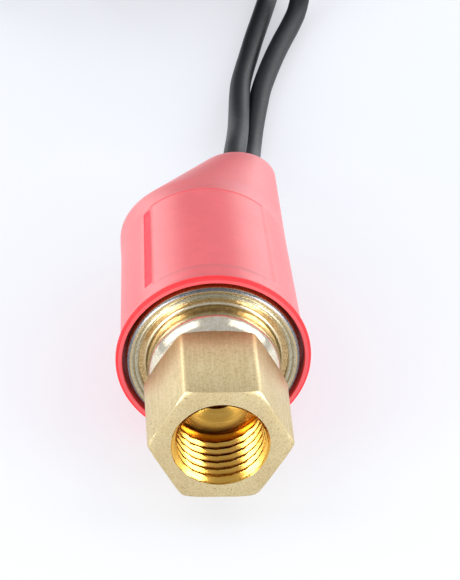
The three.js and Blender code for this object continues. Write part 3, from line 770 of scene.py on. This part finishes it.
def new_material(name):
    material = bpy.data.materials.new(name)
    material.use_nodes = True
    material.node_tree.nodes.clear()
    return material


def add_node(material, kind, sockets=(), **settings):
    """Adds a node with its settings and links. Its sockets are given by name or in order, each
    as a value, as a socket to link, or as a node whose first live output is linked."""
    new = material.node_tree.nodes.new(kind)
    for key, value in settings.items():
        setattr(new, key, value)
    for key, value in sockets.items() if isinstance(sockets, dict) else enumerate(sockets):
        if isinstance(value, bpy.types.Node):
            value = next(output for output in value.outputs if output.enabled)
        if isinstance(value, bpy.types.NodeSocket):
            material.node_tree.links.new(value, new.inputs[key])
        else:
            new.inputs[key].default_value = value
    return new


def grains(material, size, stretch=(1, 1, 1), detail=3.0):
    """An uneven pattern with grains of a size in mm, drawn out along each axis by stretch."""
    place = add_node(material, "ShaderNodeTexCoord").outputs["Object"]
    scale = [1 / (size * MM * s) for s in stretch]
    in_grains = add_node(material, "ShaderNodeMapping", {"Vector": place, "Scale": scale})
    return add_node(material, "ShaderNodeTexNoise", {
        "Vector": in_grains, "Scale": 1.0, "Detail": detail, "Roughness": 0.6,
    })


def from_axis(material):
    """The distance from the switch's axis, in mm."""
    place = add_node(material, "ShaderNodeTexCoord").outputs["Object"]
    across = add_node(material, "ShaderNodeMapping", {
        "Vector": place, "Location": (0, 0, -AXIS_Z / MM), "Scale": (1 / MM, 0, 1 / MM),
    })
    return add_node(material, "ShaderNodeVectorMath", [across], operation="LENGTH")


def tinted(material, colour, *tints):
    """Lays tints over a colour, each where a pattern rises from start to end, up to a
    strength."""
    for pattern, start, end, strength, tint in tints:
        amount = add_node(material, "ShaderNodeMapRange", [pattern, start, end, 0, strength])
        colour = add_node(
            material, "ShaderNodeMix", {0: amount, 6: colour, 7: tint}, data_type="RGBA",
        )
    return colour


def finished(material, colour, glossed_by, gloss, raised_by, depth, constants):
    """Joins a colour, a roughness between two limits and a relief with a depth in mm."""
    roughness = add_node(material, "ShaderNodeMapRange", [glossed_by, 0.3, 0.7, *gloss])
    relief = add_node(material, "ShaderNodeBump", {
        "Height": raised_by, "Distance": depth * MM, "Strength": 1.0,
    })
    shader = add_node(material, "ShaderNodeBsdfPrincipled", {
        "Base Color": colour, "Roughness": roughness, "Normal": relief, **constants,
    })
    add_node(material, "ShaderNodeOutputMaterial", {"Surface": shader})
    return material


def mottled(name, light, dark, size, gloss, depth, constants, stretch=(1, 1, 1)):
    """A finish whose colour, gloss and relief all vary over one grain."""
    material = new_material(name)
    pattern = grains(material, size, stretch)
    colour = tinted(material, srgb(light), (pattern, 0.3, 0.7, 1, srgb(dark)))
    return finished(material, colour, pattern, gloss, pattern, depth, constants)


def drawn_brass():
    """Drawn hexagon bar, dull from handling: fine streaks along the bar, small dark specks,
    and a pink heat tint next to the braze."""
    material = new_material("drawn_brass")
    streaks = grains(material, 0.16, (1, 30, 1))
    pits = grains(material, 0.22, (1, 1.5, 1), 2.0)
    colour = tinted(
        material, srgb("#DAC79C"),
        (streaks, 0.3, 0.7, 1, srgb("#C8B281")),
        (grains(material, 3.0), 0.35, 0.65, 0.5, srgb("#DFCFA4")),
        (pits, 0.45, 0.7, 0.5, srgb("#AD9768")),
        (grains(material, 0.3, (1, 1.6, 1), 1.0), 0.69, 0.73, 0.6, srgb("#8A7448")),
    )
    place = add_node(material, "ShaderNodeTexCoord").outputs["Object"]
    along = add_node(material, "ShaderNodeSeparateXYZ", [place]).outputs["Y"]
    braze = FACE_Y + HEX_LENGTH * MM
    heat = add_node(material, "ShaderNodeMapRange", [
        along, braze - HEAT_TINT_LENGTH * MM, braze, 0, 0.6,
    ])
    patches = add_node(material, "ShaderNodeMapRange", [
        grains(material, 1.6), 0.35, 0.65, 0.35, 1,
    ])
    amount = add_node(material, "ShaderNodeMath", [heat, patches], operation="MULTIPLY")
    colour = add_node(
        material, "ShaderNodeMix", {0: amount, 6: colour, 7: srgb("#CE946A")}, data_type="RGBA",
    )
    return finished(material, colour, streaks, (0.34, 0.46), pits, 0.008, METAL)


def plated_cup():
    """Drawn steel, yellow zinc plated: a bright neck with the faint orange peel of the
    drawing and the plating's speckle, and a bronze film where the flange holds the dip."""
    material = new_material("yellow_zinc_plated_steel")
    peel = grains(material, 0.55)
    speckle = grains(material, 0.14, detail=1.0)
    bronze = tinted(material, srgb("#CDB183"), (speckle, 0.4, 0.6, 1, srgb("#AB8E60")))
    colour = tinted(
        material, srgb("#F6EFDC"),
        (peel, 0.3, 0.7, 1, srgb("#E2D6B8")),
        (speckle, 0.6, 0.68, 0.45, srgb("#77705A")),
        (from_axis(material), NECK_RADIUS + 0.1, NECK_RADIUS + 0.3, 1, bronze),
    )
    return finished(material, colour, peel, (0.14, 0.24), peel, 0.012, METAL)


def plated_shell():
    """The same plating on the thin rolled can: greyer on the flat lip, gold on its edges,
    with a painted dark blue-grey band of shade round the bend of the roll."""
    material = new_material("passivated_zinc_rim")
    speckle = grains(material, 0.2)
    radius = from_axis(material)
    # Painted shade: the dark blue-grey colour of the band round the bend of the roll.
    roll_painted_shade = tinted(material, srgb("#6A6B74"), (speckle, 0.4, 0.6, 1, srgb("#85827F")))
    colour = tinted(
        material, srgb("#C2BCA6"),
        (speckle, 0.35, 0.65, 1, srgb("#A9A188")),
        (radius, BEAD_RADIUS - 0.58, BEAD_RADIUS - 0.5, 0.8, srgb("#C9A96A")),
        # Painted shade laid as a narrow band round the bend of the roll.
        (radius, BEAD_RADIUS - 0.46, BEAD_RADIUS - 0.38, 1, roll_painted_shade),
        (radius, BEAD_RADIUS - 0.12, BEAD_RADIUS - 0.05, 1, srgb("#C2A765")),
    )
    return finished(material, colour, speckle, (0.2, 0.32), speckle, 0.006, METAL)


def soft_vinyl():
    """Dipped soft PVC: an even bright red under a satin skin, with a faint orange peel and
    a whitish bloom where it turns away."""
    material = new_material("dipped_soft_pvc")
    peel = grains(material, 0.45)
    cloud = grains(material, 6.0)
    colour = tinted(material, srgb("#DF484E"), (cloud, 0.35, 0.65, 1, srgb("#D43E45")))
    return finished(material, colour, peel, (0.34, 0.42), peel, 0.005, {
        "IOR": PVC_IOR, "Specular IOR Level": 0.85,
        "Sheen Weight": 0.2, "Sheen Roughness": 0.4,
    })


def extruded_vinyl():
    """Lead insulation: extruded black PVC, satin, with faint scuffs from handling."""
    material = new_material("extruded_black_pvc")
    skin = grains(material, 0.3)
    scuffs = grains(material, 1.4)
    colour = tinted(material, srgb("#17191C"), (scuffs, 0.58, 0.7, 0.5, srgb("#2A2D31")))
    return finished(material, colour, skin, (0.4, 0.5), skin, 0.01, {
        "IOR": PVC_IOR, "Specular IOR Level": 0.22,
    })


METAL = {"Metallic": 1.0}
PVC_IOR = 1.53
NYLON_IOR = 1.53
HEAT_TINT_LENGTH = 3.2
LESS_SPECULAR_PVC = {"IOR": PVC_IOR, "Specular IOR Level": 0.3}

DRAWN_BRASS = drawn_brass()
# Freshly machined bore: bright, golden, with the tool's fine rings.
MACHINED_BRASS = mottled(
    "machined_brass", "#E2B45A", "#CF9A3C", 0.09, (0.14, 0.24), 0.003, METAL, (40, 1, 40),
)
PLATED_CUP = plated_cup()
PLATED_SHELL = plated_shell()
SOFT_VINYL = soft_vinyl()
# The same PVC in the groove and on the lip, painted a deeper, brighter red with less specular:
# painted light where the skin catches no white reflection.
GROOVE_VINYL_PAINTED_DEEPER = mottled(
    "groove_pvc_painted_deeper", "#FF3A4A", "#F83444", 0.45, (0.5, 0.6), 0.005, LESS_SPECULAR_PVC,
)
LIP_VINYL_PAINTED_DEEPER = mottled("lip_pvc_painted_deeper", "#FF2E34", "#F4282E", 0.45, (0.5, 0.6), 0.005, LESS_SPECULAR_PVC)
BLACK_VINYL = extruded_vinyl()
# Moulded natural nylon: milky, a little light passes through it.
MILKY_NYLON = mottled(
    "milky_moulded_nylon", "#E4E6E4", "#D2D6D6", 0.8, (0.3, 0.4), 0.01,
    {"IOR": NYLON_IOR, "Transmission Weight": 0.25},
)
# Brazing alloy: coppery gold where it flowed, dull brown where flux was.
BRAZE_ALLOY = mottled("braze_alloy", "#C79A5B", "#8A6238", 0.5, (0.3, 0.5), 0.03, METAL)
# Moulded black nylon: even, with the mould's fine spark-eroded grain.
BLACK_NYLON = mottled(
    "moulded_black_nylon", "#1F2022", "#2A2B2E", 0.12, (0.5, 0.62), 0.01, {"IOR": NYLON_IOR},
)
# Stamped and polished spring steel, faintly brushed along the strip.
SPRING_STEEL = mottled(
    "spring_steel", "#B4B6B8", "#9C9EA2", 0.1, (0.22, 0.34), 0.003, METAL, (20, 1, 1),
)
# Plain steel ring with turning marks.
TURNED_STEEL = mottled(
    "turned_steel", "#A8A49A", "#8E8A80", 0.12, (0.26, 0.4), 0.004, METAL, (30, 1, 30),
)
# Fine silver contact face, softly tarnished.
SILVER = mottled("silver_contact", "#DEDEDA", "#C6C4BC", 0.3, (0.2, 0.32), 0.004, METAL)
# Rolled copper alloy, with the roll's lines along the strip.
COPPER = mottled(
    "rolled_copper_alloy", "#C08A62", "#A87048", 0.1, (0.26, 0.38), 0.003, METAL, (30, 1, 1),
)
# Tin plate over brass: pale, slightly cloudy.
TIN_PLATE = mottled("tinned_brass", "#C8C8C2", "#AEAEA6", 0.35, (0.26, 0.4), 0.005, METAL)
# Turned brass of the small rivets.
RIVET_BRASS = mottled(
    "rivet_brass", "#CDB070", "#B4955A", 0.12, (0.24, 0.36), 0.004, METAL, (30, 1, 30),
)
# Polyimide film: clear amber and glossy.
AMBER_FILM = mottled(
    "polyimide_film", "#C87A2C", "#B06420", 1.2, (0.18, 0.28), 0.003, {"IOR": 1.7},
)
# Nitrile gasket rubber: matte, with a dusting of release agent.
NITRILE = mottled(
    "nitrile_rubber", "#18181A", "#232325", 0.25, (0.62, 0.78), 0.01, {"IOR": 1.52},
)
# Phenolic moulding: dark brown with its filler's flecks.
PHENOLIC = mottled(
    "phenolic_moulding", "#2A1F1A", "#3B2C24", 0.3, (0.42, 0.58), 0.008, {"IOR": 1.6},
)
# Poured sealant: soft surface with slow waves.
SEALANT = mottled("poured_sealant", "#45433E", "#5A574F", 1.5, (0.4, 0.55), 0.05, {"IOR": 1.5})

NODE_FINISHES = {
    "pressure_gasket": NITRILE, "diaphragm": AMBER_FILM, "disc_seat": TURNED_STEEL,
    "pressure_piston": SPRING_STEEL, "snap_disc": SPRING_STEEL, "transfer_pin": PHENOLIC,
    "switch_base": PHENOLIC, "common_terminal": TIN_PLATE, "fixed_terminal": TIN_PLATE,
    "common_rivet": RIVET_BRASS, "arm_spacer": RIVET_BRASS, "fixed_contact": SILVER,
    "contact_arm": COPPER, "moving_contact": SILVER, "contact_cover": BLACK_NYLON,
    "conductor_a": COPPER, "conductor_b": COPPER, "lead_seal": SEALANT,
    "receptacle_a": TIN_PLATE, "receptacle_b": TIN_PLATE,
}


def finish_nodes():
    """Gives each CAD piece that stays its own finish."""
    for node, material in NODE_FINISHES.items():
        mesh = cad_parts[node].data
        mesh.materials.clear()
        mesh.materials.append(material)

# ---- Assembly ----------------------------------------------------------------

finish_nodes()

fitting = model_fitting()
paint(fitting, DRAWN_BRASS)
paint(fitting, MACHINED_BRASS, in_the_bore)
stand_for(fitting, "port_fitting")

braze = model_braze()
smooth(braze)
paint(braze, BRAZE_ALLOY)
stand_for(braze, "braze_ring")

cup = model_cup()
smooth(cup)
paint(cup, PLATED_CUP)
stand_for(cup, "pressure_cup")

shell = model_shell()
smooth(shell)
paint(shell, PLATED_SHELL)
stand_for(shell, "crimp_shell")

boot = model_boot()
paint(boot, SOFT_VINYL)
# The groove and the lip get the deeper red copies of the PVC: painted light where no white
# reflection falls.
paint(boot, GROOVE_VINYL_PAINTED_DEEPER, in_the_groove)
paint(boot, LIP_VINYL_PAINTED_DEEPER, on_the_lip)
stand_for(boot, "boot")

tie_front = model_tie("coil_strap_front", "coil_tie_front", -120)
tie_rear = model_tie("coil_strap_rear", "coil_tie_rear", 45)
for tie, node in ((tie_front, "coil_tie_front"), (tie_rear, "coil_tie_rear")):
    paint(tie, BLACK_NYLON)
    stand_for(tie, node)

sleeve_a = model_sleeve("terminal_sleeve_a", LEAD_A_TAIL)
sleeve_b = model_sleeve("terminal_sleeve_b", LEAD_B_TAIL)
for sleeve, node in ((sleeve_a, "sleeve_a"), (sleeve_b, "sleeve_b")):
    paint(sleeve, MILKY_NYLON)
    stand_for(sleeve, node)

paint(lead_a, BLACK_VINYL)
paint(lead_b, BLACK_VINYL)
declare_lead(lead_a, "a")
declare_lead(lead_b, "b")

# ---- Floor and light ----------------------------------------------------------


FLOOR_SIZE = 6
FLOOR_GAP = 0.0002                                  # between the floor and the piece on it
WORLD_STRENGTH = 0.6
# Each softbox: name, place, width and height in metres, and power in watts. One with a place
# to the side stands on both sides.
SOFTBOXES = (
    ("side_softbox", (0.3, 0.0, 0.26), 0.26, 0.4, 0.45),
    ("front_softbox", (0.27, -0.3, 0.09), 0.22, 0.16, 1.15),
    ("back_side_softbox", (0.32, 0.42, 0.13), 0.34, 0.26, 0.6),
    ("back_softbox", (0, 0.36, 0.34), 0.5, 0.24, 0.22),
)


def add_floor():
    """A plain pale floor, with a faint glow of its own that keeps shadows light."""
    deselect()
    bpy.ops.mesh.primitive_plane_add(
        size=FLOOR_SIZE, location=(0, 0, AXIS_Z + TABLE * MM - FLOOR_GAP),
    )
    settle_place()
    floor = name_piece("floor")
    material = new_material("white_acrylic_floor")
    shader = add_node(material, "ShaderNodeBsdfPrincipled", {
        "Base Color": srgb("#A6A9AB"), "Roughness": 0.5,
        "Emission Color": srgb("#F8F9FF"), "Emission Strength": 0.52,
    })
    add_node(material, "ShaderNodeOutputMaterial", {"Surface": shader})
    floor.data.materials.append(material)


def add_softbox(name, place, aim, width, height, power):
    data = bpy.data.lights.new(name, "AREA")
    data.shape = "RECTANGLE"
    data.size, data.size_y = width, height
    data.energy = power
    lamp = bpy.data.objects.new(name, data)
    bpy.context.collection.objects.link(lamp)
    lamp.location = place
    lamp.rotation_euler = (aim - Vector(place)).to_track_quat("-Z", "Y").to_euler()


def light_scene():
    """A pale room with softboxes round the switch, all aimed at its front half."""
    world = bpy.data.worlds.new("studio")
    world.use_nodes = True
    background = world.node_tree.nodes["Background"]
    background.inputs["Color"].default_value = srgb("#F4F7FF")
    background.inputs["Strength"].default_value = WORLD_STRENGTH
    bpy.context.scene.world = world
    bpy.context.scene.view_settings.view_transform = "Standard"
    middle = at(0, 20, 0)
    for name, (x, y, z), width, height, power in SOFTBOXES:
        for side in (-1, 1) if x else (1,):
            add_softbox(name, (side * x, y, z), middle, width, height, power)


add_floor()
light_scene()
